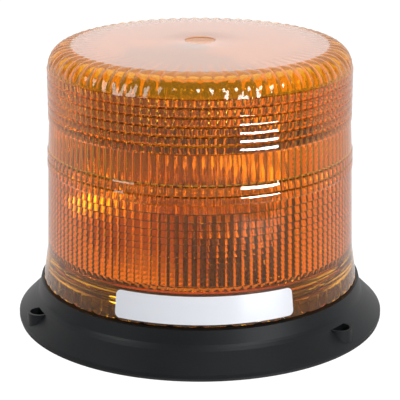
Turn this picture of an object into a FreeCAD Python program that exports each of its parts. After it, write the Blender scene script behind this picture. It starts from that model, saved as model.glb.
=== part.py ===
import FreeCAD, Part
import math
import os
import re
import Sketcher

# A rotating warning beacon for permanent mounting.
# Frame: origin at the centre of the underside, +Z up, -Y towards the front (the blank label).
# A black moulded base carries a round collar. The amber lens screws onto the collar, and
# inside it a motor turns a parabolic reflector about a lamp that stands on a fixed post.

# ---------------------------------------------------------------- driving dimensions (mm, degrees)
SIZES = [
    ("rim_radius", 92.0, "outer radius of the mounting flange"),
    ("gasket_thickness", 1.5, "rubber pad under the flange"),
    ("rim_top", 3.2, "top of the flange's upright edge"),
    ("crease_radius", 83.6, "where the sloping flange meets the terrace"),
    ("crease_height", 11.4, "height of that crease"),
    ("ridge_radius", 82.4, "bright ridge above the crease"),
    ("ridge_height", 12.9, "height of the ridge"),
    ("shoulder_radius", 80.3, "top of the base's upright wall"),
    ("shoulder_height", 20.5, "height of the wall below the lens"),
    ("seat_radius", 75.8, "step that carries the lens seal"),
    ("seat_height", 25.0, "height of the seal's step"),
    ("collar_radius", 71.6, "outside of the collar, at the root of its thread"),
    ("collar_top", 36.0, "top of the collar"),
    ("collar_bore", 68.6, "inside of the collar"),
    ("ledge_bore", 58.0, "inside of the ledge under the deck"),
    ("deck_height", 24.0, "top of the ledge, underside of the deck"),
    ("deck_thickness", 2.5, "deck plate"),
    ("ledge_thickness", 3.0, "ledge under the deck"),
    ("chamber_radius", 75.4, "room below the deck"),
    ("cover_radius", 77.0, "bottom cover"),
    ("cover_thickness", 1.5, "bottom cover's sheet"),
    ("cover_height", 2.0, "underside of the bottom cover"),
    ("pocket_inner", 79.2, "hollow in the flange, inner side"),
    ("pocket_outer", 89.3, "hollow in the flange, outer side"),
    ("pocket_count", 9.0, "hollows between the flange's ribs"),
    ("pocket_angle", 37.0, "width of one hollow"),
    ("bolt_circle", 85.0, "radius of the three mounting holes"),
    ("bolt_first", 82.0, "angle of the first mounting hole"),
    ("boss_radius", 6.0, "mounting boss"),
    ("boss_top", 11.0, "top of the mounting boss"),
    ("mouth_radius", 4.8, "counterbore for the bolt head"),
    ("mouth_depth", 4.0, "depth of that counterbore"),
    ("bolt_radius", 3.3, "clearance hole for a 6 mm bolt"),
    ("lug_circle", 70.8, "lugs for the cover's screws"),
    ("lug_radius", 5.0, "one such lug"),
    ("screw_radius", 1.5, "shank of the 3 mm screws"),
    ("head_radius", 2.8, "head of the 3 mm screws"),
    ("head_height", 1.6, "height of that head"),
    ("small_screw_radius", 1.0, "shank of the 2 mm screws"),
    ("small_head_radius", 1.9, "head of the 2 mm screws"),
    ("small_head_height", 1.2, "height of that head"),
    ("skirt_bottom", 21.35, "lower edge of the lens"),
    ("skirt_radius", 79.0, "outside of the lens at that edge"),
    ("skirt_top", 37.3, "where the skirt meets the lens wall"),
    ("wall_radius", 76.6, "outside of the lens at the skirt's top"),
    ("skirt_bore", 77.0, "inside of the skirt round the seal"),
    ("nut_bore", 74.0, "inside of the lens at the root of its thread"),
    ("nut_bottom", 28.2, "lower end of that thread's land"),
    ("nut_top", 36.5, "upper end of that thread's land"),
    ("band_bottom", 88.3, "lower end of the clear band"),
    ("band_radius", 75.1, "outside of the lens there"),
    ("band_top", 102.4, "upper end of the clear band"),
    ("crown_radius", 74.3, "outside of the lens from there up"),
    ("grid_top", 128.5, "upper end of the prism rings"),
    ("grid_rows", 6.0, "prism rings above the clear band"),
    ("fresnel_rows", 16.0, "prism rings below the clear band"),
    ("fresnel_pitch", 4.9, "height of the uppermost of these"),
    ("fresnel_ratio", 0.937, "each ring's height over the one above"),
    ("ring_bead", 0.45, "how far an outer ring stands out"),
    ("outer_beads", 2.0, "outer rings below the clear band"),
    ("prism_slope", 0.3, "thickness of an inner prism ring over its height"),
    ("dome_edge", 138.5, "height of the dome's flat edge"),
    ("dome_top", 140.3, "crown of the dome"),
    ("dome_wall", 3.0, "thickness of the dome"),
    ("inner_round", 7.0, "inner rounding of the dome's shoulder"),
    ("dimple_radius", 8.0, "shallow recess at the crown"),
    ("dimple_depth", 1.0, "depth of that recess"),
    ("wall_bore", 73.2, "inside of the lens above the thread"),
    ("crown_bore", 71.3, "inside of the lens below the dome"),
    ("seal_inner", 72.3, "inside of the lens seal"),
    ("seal_outer", 75.2, "outside of the lens seal"),
    ("seal_play", 0.05, "play of the seal between its two seats"),
    ("label_low", 22.8, "lower edge of the blank label"),
    ("label_high", 35.9, "upper edge of the blank label"),
    ("label_angle", 64.0, "how far the label reaches round"),
    ("label_first", -120.3, "angle of the label's left edge"),
    ("label_thickness", 0.3, "label"),
    ("label_round", 2.5, "label's corner radius"),
    ("post_radius", 9.0, "fixed centre post"),
    ("post_bore", 6.0, "bore of the centre post"),
    ("post_flange", 14.0, "flange of the post on the deck"),
    ("post_bottom", 21.0, "lower end of the post"),
    ("post_top", 52.0, "upper end of the post"),
    ("rotor_floor", 30.0, "top of the thrust washer"),
    ("end_play", 0.1, "axial play of the rotor"),
    ("running_play", 0.05, "radial play of running fits"),
    ("bush_radius", 11.5, "outside of the hub bush"),
    ("hub_radius", 17.0, "outside of the gear's hub"),
    ("hub_height", 7.9, "height of the gear's hub"),
    ("gear_teeth", 48.0, "teeth of the reflector's gear"),
    ("pinion_teeth", 12.0, "teeth of the motor's pinion"),
    ("gear_module", 1.25, "module of the gear pair"),
    ("gear_face", 5.0, "width of the gear's teeth"),
    ("gear_addendum", 0.75, "gear's addendum in modules"),
    ("tooth_play", 0.2, "backlash of each gear, along the pitch circle"),
    ("motor_radius", 12.2, "motor case"),
    ("motor_bottom", 6.4, "lower end of the motor case"),
    ("shaft_radius", 1.0, "motor shaft"),
    ("motor_screws_apart", 17.0, "distance between the motor's screws"),
    ("lamp_height", 90.0, "height of the filament"),
    ("mirror_focus", 22.0, "focal length: from the filament back to the reflector"),
    ("mirror_reach", 54.0, "half width of the reflector"),
    ("mirror_steps", 5.0, "straight tapers that follow the parabola"),
    ("mirror_wall", 1.8, "wall of the reflector"),
    ("mirror_bottom", 44.0, "lower edge of the reflector"),
    ("mirror_top", 131.0, "upper edge of the reflector"),
    ("mirror_clearance", 12.5, "hole round the post and socket"),
    ("mirror_heading", -35.0, "where the reflector faces at rest, from the front"),
    ("spine_back", 30.0, "back of the reflector's carrier"),
    ("spine_top", 118.0, "top of the reflector's carrier"),
    ("socket_radius", 9.9, "lamp socket"),
    ("socket_top", 66.0, "upper end of the lamp socket"),
    ("lamp_base_radius", 7.5, "metal base of the lamp"),
    ("bulb_radius", 13.0, "glass of the lamp"),
    ("board_height", 14.0, "underside of the circuit board"),
    ("lead_radius", 0.8, "insulated leads"),
]

doc = FreeCAD.newDocument("RotatingBeacon")
sheet = doc.addObject("Spreadsheet::Sheet", "Sizes")
for row, (alias, number, note) in enumerate(SIZES, start=1):
    sheet.set(f"A{row}", alias)
    sheet.set(f"B{row}", str(number))
    sheet.set(f"C{row}", note)
    sheet.setAlias(f"B{row}", alias)
doc.recompute()

ALIASES = {alias for alias, number, note in SIZES}
UP = FreeCAD.Vector(0, 0, 1)
nodes = []


# ---------------------------------------------------------------- reading the sheet
def bound(text):
    """The expression as an object outside the sheet has to write it."""
    words = r"[a-z][a-z_]*"
    return re.sub(words, lambda word: "Sizes." + word[0] if word[0] in ALIASES else word[0], str(text))


def value(text):
    """The number that an expression on the sheet's names comes to."""
    return float(sheet.evalExpression(str(text)))


def place(thing, x=0, y=0, z=0, turn=0, axis=UP):
    """Give an object its place, with the offsets bound to the sheet."""
    spot = FreeCAD.Vector(value(x), value(y), value(z))
    thing.Placement = FreeCAD.Placement(spot, FreeCAD.Rotation(axis, value(turn)))
    for letter, text in zip("xyz", (x, y, z)):
        if str(text) != "0":
            thing.setExpression(f".Placement.Base.{letter}", bound(text))


def keep(thing, label):
    """Name a finished piece, so that it is written as a node."""
    thing.Label = label
    nodes.append(thing)
    return thing


# ---------------------------------------------------------------- part design helpers
def new_body(label):
    """An empty body that becomes the node of that name."""
    return keep(doc.addObject("PartDesign::Body", label), label)


def plane(body, role):
    """One of the body's own origin planes or axes."""
    return [item for item in body.Origin.OriginFeatures if item.Role == role][0]


def new_sketch(body, name, role, lift="0", shift="0"):
    """A sketch on an origin plane, lifted off it and shifted along its own Y."""
    sketch = body.newObject("Sketcher::SketchObject", name)
    sketch.AttachmentSupport = [(plane(body, role), "")]
    sketch.MapMode = "FlatFace"
    offset = FreeCAD.Vector(0, value(shift), value(lift))
    sketch.AttachmentOffset = FreeCAD.Placement(offset, FreeCAD.Rotation())
    if lift != "0":
        sketch.setExpression(".AttachmentOffset.Base.z", bound(lift))
    if shift != "0":
        sketch.setExpression(".AttachmentOffset.Base.y", bound(shift))
    return sketch


def pin(sketch, geometry, corner, kind, text):
    """Hold one coordinate of a point at an expression on the sheet."""
    number = value(text)
    if abs(number) < 1e-9:
        axis = -2 if kind == "DistanceX" else -1
        sketch.addConstraint(Sketcher.Constraint("PointOnObject", geometry, corner, axis))
        return
    if number > 0:
        rule = Sketcher.Constraint(kind, -1, 1, geometry, corner, number)
        index = sketch.addConstraint(rule)
        sketch.setExpression(f"Constraints[{index}]", bound(text))
        return
    rule = Sketcher.Constraint(kind, geometry, corner, -1, 1, -number)
    index = sketch.addConstraint(rule)
    sketch.setExpression(f"Constraints[{index}]", bound(f"-({text})"))


def outline(body, name, role, corners, lift="0", shift="0"):
    """A closed outline, every corner bound to the sheet.

    A corner is (across, along). With a third item, the side that starts there is an arc of that
    radius, which turns left where the radius is positive and right where it is negative.
    """
    sketch = new_sketch(body, name, role, lift, shift)
    points = [FreeCAD.Vector(value(corner[0]), value(corner[1]), 0) for corner in corners]
    count = len(points)
    ends = []
    radii = {}
    for index, corner in enumerate(corners):
        start = points[index]
        end = points[(index + 1) % count]
        radius = value(corner[2]) if len(corner) == 3 else 0
        if radius == 0:
            sketch.addGeometry(Part.LineSegment(start, end))
            ends.append((1, 2))
            continue
        chord = end - start
        sideways = FreeCAD.Vector(-chord.y, chord.x, 0).normalize()
        rise = math.sqrt(radius * radius - chord.Length ** 2 / 4)
        centre = (start + end) / 2 + sideways * math.copysign(rise, radius)
        circle = Part.Circle(centre, UP, abs(radius))
        first, last = (start, end) if radius > 0 else (end, start)
        arc = Part.ArcOfCircle(circle, circle.parameter(first), circle.parameter(last))
        sketch.addGeometry(arc)
        ends.append((1, 2) if radius > 0 else (2, 1))
        radii[index] = corner[2] if radius > 0 else f"-({corner[2]})"
    joins = []
    for index in range(count):
        after = (index + 1) % count
        joins.append(Sketcher.Constraint("Coincident", index, ends[index][1], after, ends[after][0]))
    sketch.addConstraint(joins)
    for index, corner in enumerate(corners):
        pin(sketch, index, ends[index][0], "DistanceX", corner[0])
        pin(sketch, index, ends[index][0], "DistanceY", corner[1])
    for index, text in radii.items():
        rule = sketch.addConstraint(Sketcher.Constraint("Radius", index, value(text)))
        sketch.setExpression(f"Constraints[{rule}]", bound(text))
    return sketch


def circles(body, name, spots, radius, lift):
    """Equal circles on a level plane, one at each spot."""
    sketch = new_sketch(body, name, "XY_Plane", lift)
    for index, (across, along) in enumerate(spots):
        centre = FreeCAD.Vector(value(across), value(along), 0)
        sketch.addGeometry(Part.Circle(centre, UP, value(radius)))
        pin(sketch, index, 3, "DistanceX", across)
        pin(sketch, index, 3, "DistanceY", along)
        rule = sketch.addConstraint(Sketcher.Constraint("Radius", index, value(radius)))
        sketch.setExpression(f"Constraints[{rule}]", bound(radius))
    return sketch


def turn(body, name, corners, angle=360, kind="Revolution"):
    """Revolve an outline of (radius, height) corners about the body's upright axis."""
    feature_profile = outline(body, name + "Outline", "XZ_Plane", corners)
    feature = body.newObject("PartDesign::" + kind, name)
    feature.Profile = feature_profile
    feature.ReferenceAxis = (feature_profile, ["V_Axis"])
    feature.Angle = value(angle)
    if angle != 360:
        feature.setExpression("Angle", bound(angle))
    doc.recompute()
    return feature


def pad(body, name, sketch, length, midplane=False):
    """Raise a sketch along its normal."""
    feature = body.newObject("PartDesign::Pad", name)
    feature.Profile = sketch
    feature.Length = value(length)
    feature.Midplane = midplane
    feature.setExpression("Length", bound(length))
    doc.recompute()
    return feature


def pocket(body, name, sketch, length):
    """Cut down from a sketch, and make sure that it took something away."""
    before = body.Shape.Volume
    feature = body.newObject("PartDesign::Pocket", name)
    feature.Profile = sketch
    feature.Length = value(length)
    feature.setExpression("Length", bound(length))
    doc.recompute()
    if body.Shape.Volume > before - 1e-3:
        raise RuntimeError(name + " cut nothing")
    return feature


def repeat(body, name, feature, count):
    """Copy a feature round the body's upright axis."""
    pattern = body.newObject("PartDesign::PolarPattern", name)
    pattern.Originals = [feature]
    pattern.Axis = (plane(body, "Z_Axis"), [""])
    pattern.Angle = 360
    pattern.Occurrences = int(value(count))
    pattern.setExpression("Occurrences", bound(count))
    body.Tip = pattern
    doc.recompute()
    return pattern


def cylinder(name, radius, height, x=0, y=0, z=0):
    """An upright cylinder bound to the sheet."""
    thing = doc.addObject("Part::Cylinder", name)
    thing.setExpression("Radius", bound(radius))
    thing.setExpression("Height", bound(height))
    place(thing, x, y, z)
    return thing


def hexagon(name, radius, height, x, y, z, turn=0, axis=UP):
    """A six-sided screw head, bound to the sheet."""
    thing = doc.addObject("Part::Prism", name)
    thing.Polygon = 6
    thing.setExpression("Circumradius", bound(radius))
    thing.setExpression("Height", bound(height))
    place(thing, x, y, z, turn, axis)
    return thing


def fused(name, pieces):
    """One solid from several."""
    thing = doc.addObject("Part::MultiFuse", name)
    thing.Shapes = pieces
    return thing


def cut(name, base, tool):
    """A solid with another taken away."""
    thing = doc.addObject("Part::Cut", name)
    thing.Base = base
    thing.Tool = tool
    return thing


def screws(label, spots, sizes, head_seat, length, upwards=False):
    """A set of like screws in one node: a head on its seat and a shank going into the work."""
    shank_radius, top_radius, top_height = sizes
    made = []
    for index, (x, y) in enumerate(spots):
        head_low = head_seat if not upwards else f"{head_seat} - {top_height}"
        shank_low = head_seat if upwards else f"{head_seat} - ({length})"
        head = hexagon(f"{label}_head{index}", top_radius, top_height, x, y, head_low)
        shank = cylinder(f"{label}_shank{index}", shank_radius, length, x, y, shank_low)
        made.append(fused(f"{label}_{index}", [head, shank]))
    group = doc.addObject("Part::Compound", label)
    group.Links = made
    return keep(group, label)


def ring_spots(radius, count, first=0):
    """Points spread evenly round the upright axis, as pairs of expressions."""
    spots = []
    for index in range(count):
        angle = math.radians(first + 360.0 * index / count)
        across = round(math.cos(angle), 6)
        along = round(math.sin(angle), 6)
        spots.append((f"{radius} * {across}", f"{radius} * {along}"))
    return spots


LARGE_SCREW = ("screw_radius", "head_radius", "head_height")
SMALL_SCREW = ("small_screw_radius", "small_head_radius", "small_head_height")
DECK_SCREWS = ring_spots("63", 3, 30)
COVER_SCREWS = ring_spots("lug_circle", 4, 45)
MOTOR_Y = "(gear_teeth + pinion_teeth) * gear_module / 2"
MOTOR_SCREWS = [("-motor_screws_apart / 2", MOTOR_Y), ("motor_screws_apart / 2", MOTOR_Y)]
CRADLE_SCREWS = ring_spots("22.5", 3, 30)
BOARD_SCREWS = [("-52", "-16"), ("-52", "16")]
GROMMET = ("-30", "38")


# ---------------------------------------------------------------- base
def build_housing():
    """Moulded base: sloping flange, terrace, seal step and collar, hollow beneath."""
    body = new_body("base_housing")
    turn(body, "Shell", [
        ("cover_radius + 0.2", "gasket_thickness"),
        ("rim_radius", "gasket_thickness"),
        ("rim_radius", "rim_top"),
        ("crease_radius", "crease_height"),
        ("ridge_radius", "ridge_height"),
        ("ridge_radius - 0.5", "ridge_height + 1.1"),
        ("shoulder_radius", "shoulder_height"),
        ("seat_radius", "shoulder_height"),
        ("seat_radius", "seat_height"),
        ("collar_radius", "seat_height"),
        ("collar_radius", "collar_top"),
        ("collar_bore", "collar_top"),
        ("collar_bore", "deck_height"),
        ("ledge_bore", "deck_height"),
        ("ledge_bore", "deck_height - ledge_thickness"),
        ("chamber_radius", "deck_height - ledge_thickness"),
        ("chamber_radius", "cover_height + cover_thickness"),
        ("cover_radius + 0.2", "cover_height + cover_thickness"),
    ])
    hollow = turn(body, "FlangeHollow", [
        ("pocket_inner", "gasket_thickness"),
        ("pocket_outer", "gasket_thickness"),
        ("pocket_outer", "rim_top - 0.8"),
        ("crease_radius - 2.6", "crease_height - 1"),
        ("pocket_inner", "crease_height - 1"),
    ], "pocket_angle", "Groove")
    repeat(body, "FlangeHollows", hollow, "pocket_count")
    boss_height = "boss_top - gasket_thickness"
    bosses = ring_spots("bolt_circle", 3, value("bolt_first"))
    pad(body, "Bosses", circles(body, "BossCircles", bosses, "boss_radius", "gasket_thickness"), boss_height)
    pocket(body, "BoltHoles", circles(body, "BoltCircles", bosses, "bolt_radius", "boss_top"), "boss_top")
    pocket(body, "BoltMouths", circles(body, "MouthCircles", bosses, "mouth_radius", "boss_top"), "mouth_depth")
    lug_low = "cover_height + cover_thickness"
    lugs = circles(body, "LugCircles", COVER_SCREWS, "lug_radius", lug_low)
    pad(body, "CoverLugs", lugs, f"deck_height - ledge_thickness - ({lug_low})")
    pilots = circles(body, "PilotCircles", COVER_SCREWS, "screw_radius", "12")
    pocket(body, "CoverPilots", pilots, "12")
    deck_pilots = circles(body, "DeckPilotCircles", DECK_SCREWS, "screw_radius", "deck_height")
    pocket(body, "DeckPilots", deck_pilots, "ledge_thickness")


def build_gasket():
    """Flat rubber pad under the flange, with the three bolt holes."""
    body = new_body("mount_gasket")
    turn(body, "Pad", [
        ("cover_radius + 0.6", "0"),
        ("rim_radius - 0.5", "0"),
        ("rim_radius - 0.5", "gasket_thickness"),
        ("cover_radius + 0.6", "gasket_thickness"),
    ])
    bosses = ring_spots("bolt_circle", 3, value("bolt_first"))
    holes = circles(body, "BoltCircles", bosses, "bolt_radius", "gasket_thickness")
    pocket(body, "BoltHoles", holes, "gasket_thickness")


def build_cover():
    """Pressed steel disc that closes the base from below, with its screws and cable grommet."""
    body = new_body("bottom_cover")
    turn(body, "Disc", [
        ("0", "cover_height"),
        ("cover_radius", "cover_height"),
        ("cover_radius", "cover_height + cover_thickness"),
        ("0", "cover_height + cover_thickness"),
    ])
    top = "cover_height + cover_thickness"
    screw_holes = circles(body, "ScrewCircles", COVER_SCREWS, "screw_radius", top)
    pocket(body, "ScrewHoles", screw_holes, "cover_thickness")
    inlet = circles(body, "InletCircle", [GROMMET], "6.5", top)
    pocket(body, "Inlet", inlet, "cover_thickness")
    screws("cover_screws", COVER_SCREWS, LARGE_SCREW, "cover_height", "8", upwards=True)

    grommet = new_body("cable_grommet")
    turn(grommet, "Sleeve", [
        ("3.5", "0.4"),
        ("9", "0.4"),
        ("9", "cover_height"),
        ("6.5", "cover_height"),
        ("6.5", top),
        ("8.2", top),
        ("7.4", f"{top} + 1.8"),
        ("3.5", f"{top} + 1.8"),
    ])
    place(grommet, GROMMET[0], GROMMET[1])


def build_deck():
    """Black plate on the collar's ledge, carrying the post, the motor and the circuit board."""
    body = new_body("deck_plate")
    deck_top = "deck_height + deck_thickness"
    turn(body, "Plate", [
        ("post_radius", "deck_height"),
        ("collar_bore - 0.4", "deck_height"),
        ("collar_bore - 0.4", deck_top),
        ("post_radius", deck_top),
    ])
    pillars = circles(body, "PillarCircles", BOARD_SCREWS, "3", "board_height + 1.6")
    pad(body, "BoardPillars", pillars, "deck_height - board_height - 1.6")
    pilots = circles(body, "PillarPilotCircles", BOARD_SCREWS, "small_screw_radius", "board_height + 7.6")
    pocket(body, "PillarPilots", pilots, "6")
    screw_holes = circles(body, "ScrewCircles", DECK_SCREWS, "screw_radius", deck_top)
    pocket(body, "ScrewHoles", screw_holes, "deck_thickness")
    motor_holes = circles(body, "MotorScrewCircles", MOTOR_SCREWS, "small_screw_radius", deck_top)
    pocket(body, "MotorScrewHoles", motor_holes, "deck_thickness")
    shaft_hole = circles(body, "ShaftCircle", [("0", MOTOR_Y)], "3.2", deck_top)
    pocket(body, "ShaftHole", shaft_hole, "deck_thickness")
    screws("deck_screws", DECK_SCREWS, LARGE_SCREW, deck_top, "deck_thickness + ledge_thickness")


# ---------------------------------------------------------------- drive
def tooth_angle(teeth, radius, play):
    """Half the angle that an involute tooth fills at a radius."""
    pitch_radius = teeth * value("gear_module") / 2
    pressure = math.radians(20)
    base = pitch_radius * math.cos(pressure)
    slope = math.acos(min(1.0, base / max(base, radius)))
    pitch_half = math.pi / (2 * teeth) - play / (2 * pitch_radius)
    return pitch_half + (math.tan(pressure) - pressure) - (math.tan(slope) - slope)


def toothed_disc(teeth, addendum, height, phase):
    """A spur gear's solid, its involute flanks drawn through root, base, pitch and tip."""
    module = value("gear_module")
    pitch_radius = teeth * module / 2
    base = pitch_radius * math.cos(math.radians(20))
    root = pitch_radius - 1.25 * module
    radii = [root, pitch_radius, pitch_radius + addendum * module]
    if base > root + 0.2:
        radii.insert(1, base)
    corners = []
    for tooth in range(teeth):
        centre = 2 * math.pi * (tooth + phase) / teeth
        rising = [(radius, centre - tooth_angle(teeth, radius, value("tooth_play"))) for radius in radii]
        falling = [(radius, centre + tooth_angle(teeth, radius, value("tooth_play"))) for radius in radii]
        corners += rising + falling[::-1]
    points = [FreeCAD.Vector(r * math.cos(a), r * math.sin(a), 0) for r, a in corners]
    face = Part.Face(Part.makePolygon(points + points[:1]))
    return face.extrude(FreeCAD.Vector(0, 0, height))


def build_gear():
    """Drive gear with its hub, and the bush pressed into it."""
    floor = "rotor_floor + end_play"
    teeth = doc.addObject("Part::Feature", "GearTeeth")
    teeth.Shape = toothed_disc(int(value("gear_teeth")), value("gear_addendum"), value("gear_face"), 0.5)
    place(teeth, 0, 0, floor)
    hub = cylinder("GearHub", "hub_radius", "hub_height", 0, 0, floor)
    bore = cylinder("GearBore", "bush_radius", "hub_height", 0, 0, floor)
    holes = [bore]
    for index, (x, y) in enumerate(CRADLE_SCREWS):
        hole = cylinder(f"GearHole{index}", "screw_radius", "gear_face", 0, 0, floor)
        spin = FreeCAD.Rotation(UP, value("mirror_heading"))
        spot = spin.multVec(FreeCAD.Vector(value(x), value(y), value(floor)))
        hole.Placement = FreeCAD.Placement(spot, FreeCAD.Rotation())
        holes.append(hole)
    gear = cut("Gear", fused("GearSolid", [teeth, hub]), fused("GearHoles", holes))
    keep(gear, "drive_gear")

    bush = new_body("hub_bush")
    turn(bush, "Sleeve", [
        ("post_radius + running_play", floor),
        ("bush_radius", floor),
        ("bush_radius", f"{floor} + hub_height"),
        ("post_radius + running_play", f"{floor} + hub_height"),
    ])


def build_motor():
    """Small motor under the deck, with its shaft and pinion standing through it."""
    case = new_body("motor_case")
    turn(case, "Can", [
        ("0", "motor_bottom"),
        ("motor_radius", "motor_bottom"),
        ("motor_radius", "deck_height"),
        ("3", "deck_height"),
        ("3", "deck_height + 1.2"),
        ("shaft_radius + running_play", "deck_height + 1.2"),
        ("shaft_radius + running_play", "deck_height - 4"),
        ("0", "deck_height - 4"),
    ])
    place(case, 0, MOTOR_Y)
    spots = [("-motor_screws_apart / 2", "0"), ("motor_screws_apart / 2", "0")]
    pilots = circles(case, "ScrewCircles", spots, "small_screw_radius", "deck_height")
    pocket(case, "ScrewPilots", pilots, "3")
    deck_top = "deck_height + deck_thickness"
    screws("motor_screws", MOTOR_SCREWS, SMALL_SCREW, deck_top, "deck_thickness + 3")

    shaft = new_body("motor_shaft")
    turn(shaft, "Rod", [
        ("0", "deck_height - 3.8"),
        ("shaft_radius", "deck_height - 3.8"),
        ("shaft_radius", "rotor_floor + gear_face - 0.2"),
        ("0", "rotor_floor + gear_face - 0.2"),
    ])
    place(shaft, 0, MOTOR_Y)

    teeth = doc.addObject("Part::Feature", "PinionTeeth")
    teeth.Shape = toothed_disc(int(value("pinion_teeth")), 1.0, value("gear_face"), 0.0)
    place(teeth, 0, MOTOR_Y, "rotor_floor - 0.2")
    bore = cylinder("PinionBore", "shaft_radius", "gear_face", 0, MOTOR_Y, "rotor_floor - 0.2")
    keep(cut("Pinion", teeth, bore), "pinion_gear")


# ---------------------------------------------------------------- post, lamp and socket
def build_post():
    """Fixed hollow post, with the washer under the rotor and the ring above it."""
    deck_top = "deck_height + deck_thickness"
    washer_low = "rotor_floor - 0.5"
    ring_low = "rotor_floor + end_play + hub_height + end_play"
    post = new_body("centre_post")
    turn(post, "Tube", [
        ("post_bore", "post_bottom"),
        ("post_radius", "post_bottom"),
        ("post_radius", deck_top),
        ("post_flange", deck_top),
        ("post_flange", washer_low),
        ("post_radius", washer_low),
        ("post_radius", "post_top"),
        ("post_bore", "post_top"),
    ])
    washer = new_body("thrust_washer")
    turn(washer, "Ring", [
        ("post_radius", washer_low),
        ("post_flange - 0.5", washer_low),
        ("post_flange - 0.5", "rotor_floor"),
        ("post_radius", "rotor_floor"),
    ])
    ring = new_body("retaining_ring")
    turn(ring, "Ring", [
        ("post_radius", ring_low),
        ("post_radius + 4", ring_low),
        ("post_radius + 4", f"{ring_low} + 1"),
        ("post_radius", f"{ring_low} + 1"),
    ])


def bulb_profile(ball, neck):
    """Corners of a bulb from its neck up to its crown, for a ball and a neck of given radii."""
    corners = [(neck, "socket_top + 6")]
    waist = f"sqrt(({ball}) * ({ball}) - {neck} * {neck})"
    corners.append((neck, f"lamp_height - {waist}"))
    for lean in (-20, 20, 55):
        across = round(math.cos(math.radians(lean)), 6)
        rise = round(math.sin(math.radians(lean)), 6)
        corners.append((f"({ball}) * {across}", f"lamp_height + ({ball}) * {rise}"))
    corners.append(("0", f"lamp_height + ({ball})"))
    return corners


def build_lamp():
    """Bayonet socket in the post, and the lamp: metal base, glass and filament."""
    socket = new_body("lamp_socket")
    turn(socket, "Sleeve", [
        ("0", "post_top - 6"),
        ("post_bore", "post_top - 6"),
        ("post_bore", "post_top"),
        ("socket_radius", "post_top"),
        ("socket_radius", "socket_top"),
        ("lamp_base_radius", "socket_top"),
        ("lamp_base_radius", "post_top + 4"),
        ("0", "post_top + 4"),
    ])
    base = new_body("lamp_base")
    turn(base, "Cap", [
        ("0", "post_top + 4"),
        ("lamp_base_radius", "post_top + 4"),
        ("lamp_base_radius", "socket_top + 6"),
        ("6.2", "socket_top + 6"),
        ("6.2", "socket_top + 3"),
        ("0", "socket_top + 3"),
    ])
    glass = new_body("lamp_glass")
    room = bulb_profile("bulb_radius - 0.8", "6.2")
    turn(glass, "Bulb", bulb_profile("bulb_radius", "7") + room[::-1])

    legs = [
        cylinder("LegLeft", "0.4", "lamp_height - socket_top - 3", -3, 0, "socket_top + 3"),
        cylinder("LegRight", "0.4", "lamp_height - socket_top - 3", 3, 0, "socket_top + 3"),
    ]
    coil = doc.addObject("Part::Cylinder", "Coil")
    coil.Radius = 0.7
    coil.Height = 7
    place(coil, -3.5, 0, "lamp_height", 90, FreeCAD.Vector(0, 1, 0))
    keep(fused("Filament", legs + [coil]), "lamp_filament")


# ---------------------------------------------------------------- reflector
def dish_room(shift):
    """What lies in front of the reflector's surface: y = focus - r^2 / (4 focus), moved back by shift."""
    focus = value("mirror_focus")
    reach = value("mirror_reach")
    lamp = value("lamp_height")
    steps = int(value("mirror_steps"))
    mouth = focus - reach ** 2 / (4 * focus)
    points = [FreeCAD.Vector(0, mouth, lamp)]
    for step in range(steps + 1):
        radius = reach * step / steps
        points.append(FreeCAD.Vector(0, focus + shift - radius ** 2 / (4 * focus), lamp + radius))
    if shift:
        points.append(FreeCAD.Vector(0, mouth, lamp + reach))
    face = Part.Face(Part.makePolygon(points + points[:1]))
    return face.revolve(points[0], FreeCAD.Vector(0, 1, 0), 360)


def upright_block(low, high):
    """A box between two corners."""
    size = high - low
    return Part.makeBox(size.x, size.y, size.z, low)


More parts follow.
